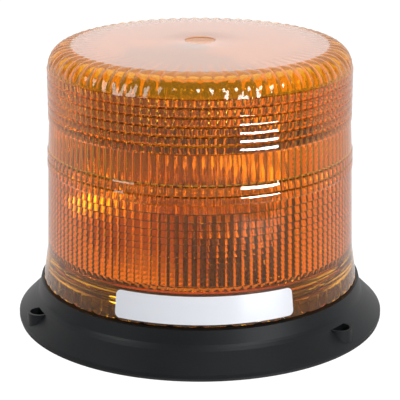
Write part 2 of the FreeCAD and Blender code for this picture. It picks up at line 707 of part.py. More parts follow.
def build_reflector():
    """Metallised parabolic dish, trimmed level above and below, with two screw bosses behind."""
    focus = value("mirror_focus")
    wall = value("mirror_wall")
    back = value("spine_back") - 2
    heading = FreeCAD.Placement(FreeCAD.Vector(), FreeCAD.Rotation(UP, value("mirror_heading")))
    inside = dish_room(0)
    outside = dish_room(wall)
    low = FreeCAD.Vector(-100, -100, value("mirror_bottom"))
    high = FreeCAD.Vector(100, 100, value("mirror_top"))
    band = upright_block(low, high)
    solid = outside.common(band)
    for height in (72, 108):
        start = FreeCAD.Vector(0, focus - 4, height)
        boss = Part.makeCylinder(4, back - focus + 4, start, FreeCAD.Vector(0, 1, 0))
        solid = solid.fuse(boss)
        pilot = Part.makeCylinder(1, 5, FreeCAD.Vector(0, back - 5, height), FreeCAD.Vector(0, 1, 0))
        solid = solid.cut(pilot)
    solid = solid.cut(inside)
    post_room = Part.makeCylinder(value("mirror_clearance"), 24, FreeCAD.Vector(0, 0, 42))
    solid = solid.cut(post_room)
    dish = doc.addObject("Part::Feature", "Dish")
    dish.Shape = solid
    dish.Placement = heading
    keep(dish, "reflector")

    body = doc.addObject("PartDesign::Body", "CradleFrame")
    turn(body, "FootRing", [
        ("hub_radius + 0.2", "rotor_floor + end_play + gear_face"),
        ("28", "rotor_floor + end_play + gear_face"),
        ("28", "rotor_floor + end_play + gear_face + 3"),
        ("hub_radius + 0.2", "rotor_floor + end_play + gear_face + 3"),
    ])
    foot = "rotor_floor + end_play + gear_face"
    for name, offset in (("LeftRib", "-15.5"), ("RightRib", "12.5")):
        rib = outline(body, name + "Outline", "YZ_Plane", [
            ("18", foot),
            ("spine_back", foot),
            ("spine_back", "spine_top - 4"),
            ("spine_back - 4", "spine_top"),
            ("12", "spine_top"),
            ("12", "mirror_bottom"),
        ], offset)
        pad(body, name, rib, "3")
    spine = outline(body, "SpineOutline", "XZ_Plane", [
        ("-12.5", foot),
        ("12.5", foot),
        ("12.5", "spine_top - 4"),
        ("-12.5", "spine_top - 4"),
    ], "-spine_back")
    pad(body, "Spine", spine, "2")
    ring_top = foot + " + 3"
    screw_holes = circles(body, "ScrewCircles", CRADLE_SCREWS, "screw_radius", ring_top)
    pocket(body, "ScrewHoles", screw_holes, "3")
    envelope = doc.addObject("Part::Feature", "DishEnvelope")
    tool = outside
    for height in (72, 108):
        hole = Part.makeCylinder(1, 6, FreeCAD.Vector(0, back - 1, height), FreeCAD.Vector(0, 1, 0))
        tool = tool.fuse(hole)
    envelope.Shape = tool
    carrier = cut("Cradle", body, envelope)
    carrier.Placement = heading
    keep(carrier, "reflector_cradle")

    seats = []
    for index, (x, y) in enumerate(CRADLE_SCREWS):
        head = hexagon(f"cradle_head{index}", "head_radius", "head_height", x, y, ring_top)
        shank = cylinder(f"cradle_shank{index}", "screw_radius", "3 + gear_face", x, y, foot + " - gear_face")
        seats.append(fused(f"cradle_screw{index}", [head, shank]))
    group = doc.addObject("Part::Compound", "cradle_screws")
    group.Links = seats
    group.Placement = heading
    keep(group, "cradle_screws")

    backs = []
    for index, height in enumerate((72, 108)):
        back = "spine_back + small_head_height"
        sideways = FreeCAD.Vector(1, 0, 0)
        head = hexagon(f"back_head{index}", "small_head_radius", "small_head_height", 0, back, height, 90, sideways)
        shank = doc.addObject("Part::Cylinder", f"back_shank{index}")
        shank.setExpression("Radius", bound("small_screw_radius"))
        shank.Height = 6.5
        place(shank, 0, "spine_back", height, 90, FreeCAD.Vector(1, 0, 0))
        backs.append(fused(f"back_screw{index}", [head, shank]))
    group = doc.addObject("Part::Compound", "reflector_screws")
    group.Links = backs
    group.Placement = heading
    keep(group, "reflector_screws")


# ---------------------------------------------------------------- circuit board and leads
def build_board():
    """Board under the deck with a capacitor and a terminal block, and its two screws."""
    board = new_body("circuit_board")
    sheet_outline = outline(board, "BoardOutline", "XY_Plane", [
        ("-57", "-22"),
        ("-20", "-22"),
        ("-20", "22"),
        ("-57", "22"),
    ], "board_height")
    pad(board, "Board", sheet_outline, "1.6")
    holes = circles(board, "ScrewCircles", BOARD_SCREWS, "small_screw_radius", "board_height + 1.6")
    pocket(board, "ScrewHoles", holes, "1.6")
    screws("board_screws", BOARD_SCREWS, SMALL_SCREW, "board_height", "7", upwards=True)

    capacitor = new_body("filter_capacitor")
    turn(capacitor, "Can", [
        ("0", "board_height - 9"),
        ("4.6", "board_height - 9"),
        ("5", "board_height - 8.5"),
        ("5", "board_height"),
        ("0", "board_height"),
    ])
    place(capacitor, -30, 10)

    block = new_body("terminal_block")
    foot = outline(block, "BlockOutline", "XY_Plane", [
        ("-46", "-8"),
        ("-36", "-8"),
        ("-36", "8"),
        ("-46", "8"),
    ], "board_height - 8")
    pad(block, "Block", foot, "8")
    mouths = new_sketch(block, "MouthCircles", "YZ_Plane", "-36", "board_height - 4")
    for index, along in enumerate(("-4", "4")):
        centre = FreeCAD.Vector(value(along), 0, 0)
        mouths.addGeometry(Part.Circle(centre, UP, 2))
        pin(mouths, index, 3, "DistanceX", along)
        pin(mouths, index, 3, "DistanceY", "0")
        mouths.addConstraint(Sketcher.Constraint("Radius", index, 2))
    pocket(block, "Mouths", mouths, "6")


def tube(points, radius):
    """A round lead along straight runs with mitred corners."""
    path = Part.makePolygon(points)
    section = Part.Wire(Part.makeCircle(radius, points[0], points[1] - points[0]))
    return path.makePipeShell([section], True, True, 1)


def build_leads():
    """Insulated leads from the board to the socket and to the motor."""
    board_top = value("board_height + 1.6")
    deck_under = value("deck_height")
    socket_foot = value("post_top - 6")
    motor_y = value(MOTOR_Y)
    motor_foot = value("motor_bottom")
    radius = value("lead_radius")
    lamp_pair = []
    motor_pair = []
    for side in (-1, 1):
        lamp_route = [
            FreeCAD.Vector(-25, side * 2.2, board_top),
            FreeCAD.Vector(-25, side * 2.2, deck_under - 4),
            FreeCAD.Vector(0, side * 2.2, deck_under - 4),
            FreeCAD.Vector(0, side * 2.2, socket_foot),
        ]
        lamp_pair.append(tube(lamp_route, radius))
        motor_route = [
            FreeCAD.Vector(side * 4, motor_y, motor_foot),
            FreeCAD.Vector(side * 4, motor_y, motor_foot - 2 + 0.2),
            FreeCAD.Vector(side * 4, 14 + side, motor_foot - 2 + 0.2),
            FreeCAD.Vector(-23 + side, 14 + side, motor_foot - 2 + 0.2),
            FreeCAD.Vector(-23 + side, 14 + side, value("board_height")),
        ]
        motor_pair.append(tube(motor_route, 0.6))
    for label, pair in (("lamp_leads", lamp_pair), ("motor_leads", motor_pair)):
        leads = doc.addObject("Part::Feature", label)
        leads.Shape = Part.makeCompound(pair)
        keep(leads, label)


# ---------------------------------------------------------------- lens
def fresnel_height(row):
    """Lower edge of the prism ring below the clear band with that many rings above it."""
    return f"band_bottom - fresnel_pitch * (1 - fresnel_ratio ^ {row}) / (1 - fresnel_ratio)"


def wall_at(height):
    """Outside radius of the lens wall between the skirt and the clear band."""
    share = f"(({height}) - skirt_top) / (band_bottom - skirt_top)"
    return f"wall_radius + (band_radius - wall_radius) * {share}"


def bore_at(height):
    """Inside radius of the lens wall between the skirt and the dome's shoulder."""
    share = f"(({height}) - skirt_top) / (grid_top - skirt_top)"
    return f"wall_bore + (crown_bore - wall_bore) * {share}"


def shoulder(edge, round_radius, level, leans):
    """Corners on a quarter round that ends level, one for each lean in degrees."""
    corners = []
    for lean in leans:
        across = round(math.cos(math.radians(lean)), 6)
        rise = round(math.sin(math.radians(lean)), 6)
        reach = f"({edge}) - ({round_radius}) * (1 - {across})"
        corners.append((reach, f"({level}) - ({round_radius}) * (1 - {rise})"))
    return corners


def lens_outside():
    """Outer corners of the lens from its lower edge up: skirt, beads, clear band, rings, dome."""
    corners = [("skirt_radius", "skirt_bottom"), ("wall_radius", "skirt_top")]
    for row in range(int(value("outer_beads")), 0, -1):
        low = fresnel_height(row)
        middle = f"({low} + {fresnel_height(row - 1)}) / 2"
        corners.append((wall_at(low), low))
        corners.append((f"{wall_at(middle)} + ring_bead", middle))
    corners.append(("band_radius", "band_bottom"))
    for row in range(int(value("grid_rows"))):
        low = f"band_top + (grid_top - band_top) * {row} / grid_rows"
        middle = f"band_top + (grid_top - band_top) * ({row} + 0.5) / grid_rows"
        corners.append(("crown_radius", low))
        corners.append(("crown_radius + ring_bead", middle))
    corners += shoulder("crown_radius", "dome_edge - grid_top", "dome_edge", (0, 30, 60, 90))
    corners.append(("0", "dome_top"))
    return corners


def lens_inside():
    """Inner corners of the lens from the crown down: dome, wall, prism rings, thread land, skirt."""
    corners = [("0", "dome_top - dome_wall")]
    corners += shoulder("crown_bore", "inner_round", "dome_edge - dome_wall", (90, 45, 0))
    for row in range(int(value("fresnel_rows"))):
        high = fresnel_height(row)
        low = fresnel_height(row + 1)
        thick = f"prism_slope * fresnel_pitch * fresnel_ratio ^ {row}"
        corners.append((bore_at(high), high))
        corners.append((f"{bore_at(high)} - {thick}", f"{high} - 0.05"))
    corners.append((bore_at(low), low))
    corners += [
        ("wall_bore", "nut_top"),
        ("nut_bore", "nut_top"),
        ("nut_bore", "nut_bottom"),
        ("skirt_bore", "nut_bottom"),
        ("skirt_bore", "skirt_bottom"),
    ]
    return corners


def build_lens():
    """Amber dome that screws onto the collar, with prism rings outside and inside."""
    body = new_body("lens")
    turn(body, "Dome", lens_outside() + lens_inside())
    pocket(body, "Dimple", circles(body, "DimpleCircle", [("0", "0")], "dimple_radius", "dome_top"), "dimple_depth")


def corner_cutter(angle, height, side, level, rounding):
    """What a square corner loses when it is rounded: a block less a cylinder, set radially."""
    reach = rounding + 1
    low = FreeCAD.Vector(70, min(0, side * reach), min(0, level * reach))
    block = Part.makeBox(14, reach, reach, low)
    rod = Part.makeCylinder(rounding, 20, FreeCAD.Vector(67, 0, 0), FreeCAD.Vector(1, 0, 0))
    cutter = block.cut(rod)
    cutter.Placement = FreeCAD.Placement(FreeCAD.Vector(0, 0, height), FreeCAD.Rotation(UP, angle))
    return cutter


def build_label():
    """Blank plate on the front of the skirt, with rounded corners."""
    body = doc.addObject("PartDesign::Body", "LabelPlate")
    taper = "(skirt_radius - wall_radius) / (skirt_top - skirt_bottom)"
    low_radius = f"skirt_radius - (label_low - skirt_bottom) * {taper}"
    high_radius = f"skirt_radius - (label_high - skirt_bottom) * {taper}"
    turn(body, "Plate", [
        (low_radius, "label_low"),
        (f"{low_radius} + label_thickness", "label_low"),
        (f"{high_radius} + label_thickness", "label_high"),
        (high_radius, "label_high"),
    ], "label_angle")
    rounding = value("label_round")
    inset = math.degrees(rounding / value("skirt_radius - 1"))
    cutters = []
    for angle, side in ((inset, -1), (value("label_angle") - inset, 1)):
        for height, level in ((value("label_low") + rounding, -1), (value("label_high") - rounding, 1)):
            cutters.append(corner_cutter(angle, height, side, level, rounding))
    corners = doc.addObject("Part::Feature", "LabelCorners")
    corners.Shape = Part.makeCompound(cutters)
    plate = cut("Label", body, corners)
    place(plate, 0, 0, 0, "label_first")
    keep(plate, "lens_label")


def build_seal():
    """Rubber ring between the base's step and the lens."""
    body = new_body("lens_seal")
    turn(body, "Ring", [
        ("seal_inner", "seat_height + seal_play"),
        ("seal_outer", "seat_height + seal_play"),
        ("seal_outer", "nut_bottom - seal_play"),
        ("seal_inner", "nut_bottom - seal_play"),
    ])


build_housing()
build_gasket()
build_cover()
build_deck()
build_gear()
build_motor()
build_post()
build_lamp()
build_reflector()
build_board()
build_leads()
build_lens()
build_label()
build_seal()
doc.recompute()

# ---------------------------------------------------------------- checks and export
for item in doc.Objects:
    if "Invalid" in item.State or "Error" in item.State:
        raise RuntimeError(item.Name + " failed: " + str(item.State))
for item in nodes:
    if item.Shape.isNull() or not item.Shape.isValid():
        raise RuntimeError(item.Label + " has no valid shape")

os.makedirs("parts", exist_ok=True)
for item in nodes:
    item.Shape.exportStep("parts/" + item.Label + ".step")
    box = item.Shape.BoundBox
    solids = len(item.Shape.Solids)
    print(f"{item.Label:20s} solids {solids:2d} volume {item.Shape.Volume:10.1f} z {box.ZMin:7.2f} {box.ZMax:7.2f}")
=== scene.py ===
"""Rotating beacon: the looks of every piece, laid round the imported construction.

The amber lens is worked out here as one surface, with its prism rings, flutes, scallops and screw
thread, and so is the thread of the collar below it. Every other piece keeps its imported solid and
gets a finish. All lengths are in metres, in the frame of the construction: +Z up, -Y towards the
blank label.
"""
import math

import bpy
import numpy as np
from bpy.props import FloatProperty, FloatVectorProperty, IntProperty, PointerProperty
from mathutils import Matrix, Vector


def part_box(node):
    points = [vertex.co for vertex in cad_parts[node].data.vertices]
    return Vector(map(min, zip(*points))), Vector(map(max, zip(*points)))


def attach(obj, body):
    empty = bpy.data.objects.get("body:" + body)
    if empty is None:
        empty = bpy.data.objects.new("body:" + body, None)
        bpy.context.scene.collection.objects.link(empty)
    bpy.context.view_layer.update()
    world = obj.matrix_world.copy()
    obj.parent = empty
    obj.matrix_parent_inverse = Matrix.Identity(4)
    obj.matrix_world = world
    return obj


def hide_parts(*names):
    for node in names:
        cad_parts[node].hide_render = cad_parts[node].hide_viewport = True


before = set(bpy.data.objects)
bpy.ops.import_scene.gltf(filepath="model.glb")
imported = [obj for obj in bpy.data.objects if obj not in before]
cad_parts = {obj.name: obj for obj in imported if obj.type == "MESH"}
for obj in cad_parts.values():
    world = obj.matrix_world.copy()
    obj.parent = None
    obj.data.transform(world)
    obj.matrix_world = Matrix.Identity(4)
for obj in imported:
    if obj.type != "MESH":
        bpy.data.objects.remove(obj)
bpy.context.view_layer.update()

bl_info = {
    "name": "Rotating Beacon",
    "version": (1, 0, 0),
    "blender": (4, 5, 0),
    "location": "View3D > Sidebar > Beacon",
    "description": "Finishes, lens and stage of a rotating warning beacon",
    "category": "Object",
}

MM = 0.001
TAU = 2 * math.pi
LENS_LOW, LENS_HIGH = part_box("lens")


# ---------------------------------------------------------------- settings
class LensSettings(bpy.types.PropertyGroup):
    """Sizes and tint of the amber lens."""

    tint: FloatVectorProperty(
        name="Tint", description="Colour of the polycarbonate", subtype="COLOR",
        size=3, default=(1.0, 0.45, 0.015))
    # The crown's colour is a painted sheen: a pale tint in place of the studio's reflection on the
    # crown.
    painted_crown_sheen: FloatVectorProperty(
        name="Crown tint", description="Pale colour painted on the crown as its sheen", subtype="COLOR",
        size=3, default=(0.88, 0.57, 0.44))
    flutes: IntProperty(
        name="Flutes", description="Upright flutes inside the wall", default=120)
    flute_depth: FloatProperty(
        name="Flute depth", description="Depth of one flute", default=0.55 * MM, unit="LENGTH")
    scallops: IntProperty(
        name="Scallops", description="Lobes round the shoulder", default=72)
    scallop_depth: FloatProperty(
        name="Scallop depth", description="Depth between two lobes", default=0.8 * MM,
        unit="LENGTH")
    tabs: IntProperty(
        name="Tabs", description="Tabs along the lower edge", default=36)
    grid_rows: IntProperty(
        name="Upper rings", description="Prism rings above the clear band", default=6)
    fresnel_rows: IntProperty(
        name="Lower rings", description="Prism rings below the clear band", default=16)
    bead: FloatProperty(
        name="Ring bead", description="How far an outer ring stands out", default=0.45 * MM,
        unit="LENGTH")
    prism_slope: FloatProperty(
        name="Prism slope", description="Thickness of the top inner prism ring over its height",
        default=0.25)
    foot_slope: FloatProperty(
        name="Foot prism slope", description="The same, of the lowest ring", default=0.62)
    upper_slope: FloatProperty(
        name="Upper prism slope", description="The same, above the clear band", default=0.42)
    thread_lead: FloatProperty(
        name="Thread lead", description="Rise of the screw thread in one turn", default=4 * MM,
        unit="LENGTH")


class FinishSettings(bpy.types.PropertyGroup):
    """Colours of the opaque pieces."""

    housing: FloatVectorProperty(
        name="Housing", description="Moulded base", subtype="COLOR", size=3,
        default=(0.0115, 0.013, 0.0145))
    label: FloatVectorProperty(
        name="Label", description="Blank plate on the skirt", subtype="COLOR", size=3,
        default=(0.84, 0.87, 0.93))
    mirror: FloatVectorProperty(
        name="Reflector", description="Metallised bowl", subtype="COLOR", size=3,
        default=(0.88, 0.88, 0.88))


class StageSettings(bpy.types.PropertyGroup):
    """Floor, lights and camera."""

    floor: FloatVectorProperty(
        name="Floor", description="Colour of the floor", subtype="COLOR", size=3,
        default=(0.4, 0.4, 0.4))
    tilt: FloatProperty(
        name="Tilt", description="How far the camera looks down", subtype="ANGLE",
        default=math.radians(17.66))
    distance: FloatProperty(
        name="Distance", description="Level distance of the camera", default=0.7372, unit="LENGTH")
    height: FloatProperty(
        name="Height", description="Height of the camera", default=0.2929, unit="LENGTH")
    lens: FloatProperty(
        name="Focal length", description="Focal length in millimetres", default=138.5)


# ---------------------------------------------------------------- shader maths
class Wire:
    """A socket that takes part in Python expressions, each of which adds a Math node."""

    def __init__(self, tree, socket):
        self.tree = tree
        self.socket = socket

    def maths(self, operation, first, second):
        """A Math node on two values, either of which may be a plain number."""
        node = self.tree.nodes.new("ShaderNodeMath")
        node.operation = operation
        for slot, item in zip(node.inputs, (first, second)):
            if isinstance(item, Wire):
                self.tree.links.new(item.socket, slot)
            else:
                slot.default_value = item
        return Wire(self.tree, node.outputs[0])

    def __add__(self, other):
        return self.maths("ADD", self, other)

    def __radd__(self, other):
        return self.maths("ADD", other, self)

    def __sub__(self, other):
        return self.maths("SUBTRACT", self, other)

    def __rsub__(self, other):
        return self.maths("SUBTRACT", other, self)

    def __mul__(self, other):
        return self.maths("MULTIPLY", self, other)

    def __rmul__(self, other):
        return self.maths("MULTIPLY", other, self)

    def largest(self, other):
        """The larger of two values."""
        return self.maths("MAXIMUM", self, other)

    def smallest(self, other):
        """The smaller of two values."""
        return self.maths("MINIMUM", self, other)


class Recipe:
    """A material under construction: its node tree, its shader and its object coordinates."""

    def __init__(self, name, **constants):
        self.material = bpy.data.materials.new(name)
        self.material.use_nodes = True
        self.tree = self.material.node_tree
        self.shader = self.tree.nodes["Principled BSDF"]
        self.output = self.tree.nodes["Material Output"]
        for socket, amount in constants.items():
            self.shader.inputs[socket.replace("_", " ")].default_value = amount
        self.place = self.node("ShaderNodeTexCoord", out="Object")

    def node(self, kind, settings=None, out=0, **values):
        """A node of any kind: its settings first, then the values or links of its sockets."""
        made = self.tree.nodes.new(kind)
        for key, item in (settings or {}).items():
            setattr(made, key, item)
        for key, item in values.items():
            socket = made.inputs[key.replace("_", " ")]
            if isinstance(item, Wire):
                self.tree.links.new(item.socket, socket)
            else:
                socket.default_value = item
        return Wire(self.tree, made.outputs[out])

    def noise(self, scale, detail=3.0, rough=0.5):
        """Soft noise in object space, about 0 to 1."""
        return self.node("ShaderNodeTexNoise", Vector=self.place, Scale=scale, Detail=detail,
                         Roughness=rough)

    def ramp(self, factor, low, high, start=0.3, end=0.7):
        """A colour that runs from low to high as the factor rises from start to end."""
        made = self.tree.nodes.new("ShaderNodeValToRGB")
        made.color_ramp.elements[0].position = start
        made.color_ramp.elements[1].position = end
        made.color_ramp.elements[0].color = (*low, 1)
        made.color_ramp.elements[1].color = (*high, 1)
        self.tree.links.new(factor.socket, made.inputs["Fac"])
        return Wire(self.tree, made.outputs["Color"])

    def feed(self, socket, wire):
        """Link a value to one socket of the shader."""
        self.tree.links.new(wire.socket, self.shader.inputs[socket])

    def mix_in(self, share, other):
        """Let another shader take the place of this one by a share from 0 to 1."""
        mixed = self.tree.nodes.new("ShaderNodeMixShader")
        body = Wire(self.tree, self.shader.outputs[0])
        for slot, item in zip(mixed.inputs, (share, body, other)):
            self.tree.links.new(item.socket, slot)
        self.tree.links.new(mixed.outputs[0], self.output.inputs["Surface"])

    def bump(self, height, strength, distance):
        """Raise the surface by a height pattern, through the shader's normal."""
        self.feed("Normal", self.node("ShaderNodeBump", out="Normal", Height=height,
                                      Strength=strength, Distance=distance))


def shade(colour, amount):
    """A colour made lighter or darker."""
    return tuple(min(1.0, channel * amount) for channel in colour)


# ---------------------------------------------------------------- materials
def moulded(name, colour, roughness, grain=0.25):
    """Moulded plastic: fine spark-eroded grain and faint rubbed patches."""
    recipe = Recipe(name, Roughness=roughness, Specular_IOR_Level=0.22)
    patches = recipe.noise(18.0, 4.0)
    recipe.feed("Base Color", recipe.ramp(patches, shade(colour, 0.85), shade(colour, 1.2)))
    recipe.feed("Roughness", roughness - 0.05 + 0.1 * patches)
    recipe.bump(recipe.noise(2600.0, 2.0), grain, 0.00004)
    return recipe.material


def rubber(name, colour):
    """Matt rubber with a dusty bloom."""
    recipe = Recipe(name, Roughness=0.8)
    bloom = recipe.noise(60.0, 5.0)
    recipe.feed("Base Color", recipe.ramp(bloom, colour, shade(colour, 1.8)))
    recipe.bump(recipe.noise(1500.0), 0.3, 0.00005)
    return recipe.material


def metal(name, colour, roughness, brushed=0.0):
    """Plated or turned metal, with faint handling marks and an optional turned grain."""
    recipe = Recipe(name, Metallic=1.0, Roughness=roughness)
    marks = recipe.noise(45.0, 5.0)
    recipe.feed("Base Color", recipe.ramp(marks, shade(colour, 0.86), shade(colour, 1.06)))
    recipe.feed("Roughness", roughness - 0.06 + 0.14 * marks)
    if brushed:
        waves = recipe.node("ShaderNodeTexWave", {"wave_type": "BANDS", "bands_direction": "Z"},
                            Vector=recipe.place, Scale=900.0, Distortion=1.5)
        recipe.bump(waves, brushed, 0.00003)
    return recipe.material


def mirror_coat(name, colour):
    """Vacuum-metallised bowl: bright, with a slight ripple of the moulding below."""
    recipe = Recipe(name, Metallic=1.0, Roughness=0.09)
    ripple = recipe.noise(90.0, 2.0)
    recipe.feed("Base Color", recipe.ramp(ripple, shade(colour, 0.93), colour))
    recipe.bump(ripple, 0.12, 0.0002)
    return recipe.material


def label_film(name, colour):
    """Plain glossy white film."""
    recipe = Recipe(name, Roughness=0.28, Coat_Weight=0.4, Coat_Roughness=0.15)
    tone = recipe.noise(35.0, 2.0)
    recipe.feed("Base Color", recipe.ramp(tone, shade(colour, 0.97), colour))
    recipe.bump(recipe.noise(400.0), 0.05, 0.00005)
    return recipe.material


def board_lacquer(name):
    """Green solder lacquer over a woven board."""
    recipe = Recipe(name, Roughness=0.3, Coat_Weight=0.3)
    weave = recipe.node("ShaderNodeTexWave", {"bands_direction": "X"}, Vector=recipe.place,
                        Scale=700.0)
    recipe.feed("Base Color", recipe.ramp(weave, (0.02, 0.13, 0.05), (0.03, 0.2, 0.08)))
    recipe.bump(weave, 0.1, 0.00005)
    return recipe.material


def clear_glass(name, ior, roughness, tint, clarity=1.0, shine=0.5):
    """Glass whose shadow is a tinted veil. Light crosses two faces, so each takes half the tint."""
    recipe = Recipe(name, Roughness=roughness, IOR=ior, Transmission_Weight=clarity,
                    Specular_IOR_Level=shine, Base_Color=(*tint, 1))
    half_tint = (channel ** 0.5 for channel in tint)
    veil = recipe.node("ShaderNodeBsdfTransparent", Color=(*half_tint, 1))
    recipe.mix_in(recipe.node("ShaderNodeLightPath", out="Is Shadow Ray"), veil)
    return recipe.material


# ---------------------------------------------------------------- surfaces
def angles(count):
    """Evenly spaced angles round the upright axis, as a row."""
    return np.arange(count) * TAU / count


def lobes(turn, count):
    """Round lobes about the axis: 1 on the middle of each of count lobes and 0 between two."""
    share = (turn * count / TAU) % 1.0
    return 4 * share * (1 - share)


def round_grid(radius, height, turn):
    """Points at a radius and height, each an array of rows by angles, about the upright axis."""
    across = radius * np.cos(turn)
    along = radius * np.sin(turn)
    return np.stack([across, along, height + 0 * turn], axis=-1)


def grid_faces(rows, columns, skip=(), wrap=False):
    """Quads of a grid whose columns close on themselves. Rows after a skipped one aren't joined."""
    row = [index for index in range(rows - (0 if wrap else 1)) if index not in skip]
    row = np.array(row)[:, None]
    column = np.arange(columns)[None, :]
    after = (column + 1) % columns
    below = row * columns
    above = ((row + 1) % rows) * columns
    corners = [below + column, below + after, above + after, above + column]
    return np.stack(corners, -1).reshape(-1, 4)


def make_piece(name, points, quads, triangles, material, body, sharp=30):
    """A mesh piece that rides a body, smooth but for edges sharper than an angle in degrees."""
    mesh = bpy.data.meshes.new(name)
    faces = quads.tolist() + (triangles.tolist() if triangles is not None else [])
    mesh.from_pydata(points.reshape(-1, 3).tolist(), [], faces)
    mesh.update()
    mesh.shade_smooth()
    mesh.set_sharp_from_angle(angle=math.radians(sharp))
    mesh.materials.append(material)
    piece = bpy.data.objects.new(name, mesh)
    bpy.context.scene.collection.objects.link(piece)
    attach(piece, body)
    return piece


def dress(node, material):
    """Give a construction node its finish."""
    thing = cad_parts[node]
    thing.data.materials.clear()
    thing.data.materials.append(material)


# ---------------------------------------------------------------- lens
SKIRT_BOTTOM = LENS_LOW.z
SKIRT_TOP = SKIRT_BOTTOM + 15.95 * MM
BAND_BOTTOM = SKIRT_TOP + 51.0 * MM
BAND_TOP = BAND_BOTTOM + 14.1 * MM
GRID_TOP = BAND_TOP + 26.1 * MM
SHOULDER = 10.0 * MM
SKIRT_RADIUS = LENS_HIGH.x
WALL_RADIUS = SKIRT_RADIUS - 2.4 * MM
BAND_RADIUS = WALL_RADIUS - 1.5 * MM
CROWN_RADIUS = BAND_RADIUS - 0.8 * MM
FRESNEL_PITCH = 4.9 * MM
FRESNEL_RATIO = 0.937
WALL_BORE = 73.5 * MM
CROWN_BORE = 71.6 * MM
NUT_LOW = SKIRT_BOTTOM + 6.85 * MM
NUT_HIGH = SKIRT_BOTTOM + 15.15 * MM
NUT_BORE = 74.0 * MM
SKIRT_BORE = 77.0 * MM
TAB_DEPTH = 1.2 * MM
SKIRT_RIBS = 72
RIB_DEPTH = 0.8 * MM
RIDGE_DEPTH = 1.6 * MM
THREAD_START = NUT_LOW + 0.6 * MM
COLLAR_ROOT = 71.3 * MM
COLLAR_RIDGE = 2.0 * MM
COLLAR_TURNS = (0.15, 1.5)
COLLAR_RUNOUT = 0.08


def fresnel_edges(settings):
    """Heights of the lower rings' edges, downwards: each ring is a little lower than the last."""
    drops = FRESNEL_PITCH * FRESNEL_RATIO ** np.arange(settings.fresnel_rows)
    return BAND_BOTTOM - np.concatenate([[0], np.cumsum(drops)])


def outside_radius(height):
    """Outer radius of the smooth wall: three straight tapers."""
    heights = [SKIRT_BOTTOM, SKIRT_TOP, BAND_BOTTOM, BAND_TOP, GRID_TOP]
    radii = [SKIRT_RADIUS, WALL_RADIUS, BAND_RADIUS, CROWN_RADIUS, CROWN_RADIUS]
    return np.interp(height, heights, radii)


def bore_radius(height):
    """Inner radius of the wall at the roots of its flutes: one straight taper."""
    return np.interp(height, [SKIRT_TOP, GRID_TOP], [WALL_BORE, CROWN_BORE])


def bead_rows(low, high, depth):
    """Heights and radii of one raised ring between two grooves: steep flanks and a flat face."""
    share = np.array([0, 0.14, 0.5, 0.86])
    heights = low + (high - low) * share
    return heights, outside_radius(heights) + depth * np.array([0, 0.9, 1.0, 0.9])


def tabbed_edge(settings, turn):
    """Height of the skirt's lower edge: square tabs with sloping sides, and gaps between them."""
    tab = np.clip(2.5 - 5 * np.abs(((turn * settings.tabs / TAU) % 1.0) - 0.5) + 0.25, 0, 1)
    return SKIRT_BOTTOM + TAB_DEPTH * (1 - tab)


def lens_outer_rows(settings, turn):
    """Rows of (radius, height) up the outside: skirt, rings, band, rings, shoulder and crown."""
    flat = np.zeros_like(turn)
    rows = []
    edge = tabbed_edge(settings, turn)
    rows.append((SKIRT_RADIUS - 0.4 * MM + flat, edge))
    rows.append((SKIRT_RADIUS - 0.05 * MM + flat, edge + 0.3 * MM))
    rows.append((outside_radius(SKIRT_BOTTOM + 2 * MM) + flat, SKIRT_BOTTOM + 2 * MM + flat))
    rows.append((WALL_RADIUS + 0.05 * MM + flat, SKIRT_TOP - 0.3 * MM + flat))
    edges = fresnel_edges(settings)
    rows.append((outside_radius(edges[-1]) + flat, edges[-1] + flat))
    for ring in (1, 0):
        for height, radius in zip(*bead_rows(edges[ring + 1], edges[ring], settings.bead)):
            rows.append((radius + flat, height + flat))
    rows.append((BAND_RADIUS + flat, BAND_BOTTOM + flat))
    pitch = (GRID_TOP - BAND_TOP) / settings.grid_rows
    for ring in range(settings.grid_rows):
        low = BAND_TOP + pitch * ring
        for height, radius in zip(*bead_rows(low, low + pitch, settings.bead)):
            rows.append((radius + flat, height + flat))
    dent = settings.scallop_depth * (1 - lobes(turn, settings.scallops))
    for step in range(7):
        lean = math.radians(step * 15)
        reach = SHOULDER - dent * min(1.0, step / 2)
        radius = CROWN_RADIUS - SHOULDER + reach * math.cos(lean)
        rows.append((radius, GRID_TOP + reach * math.sin(lean)))
    crown_edge = CROWN_RADIUS - SHOULDER - 1.1 * MM
    for radius in (crown_edge, 0.75 * crown_edge, 0.4 * crown_edge, 8.2 * MM):
        wave = dent * 1.3 if radius == crown_edge else 0
        rows.append((radius - wave, crown_height(radius, crown_edge) + flat))
    dimple = crown_height(8 * MM, crown_edge)
    for radius, drop in ((7.7, 0.1), (7.1, 0.45), (4.0, 0.55)):
        rows.append((radius * MM + flat, dimple - drop * MM + flat))
    return rows


def crown_height(radius, edge):
    """Height of the crown, a shallow parabola that rises from its edge to the middle."""
    return GRID_TOP + SHOULDER + 1.55 * MM * (1 - (radius / edge) ** 2)


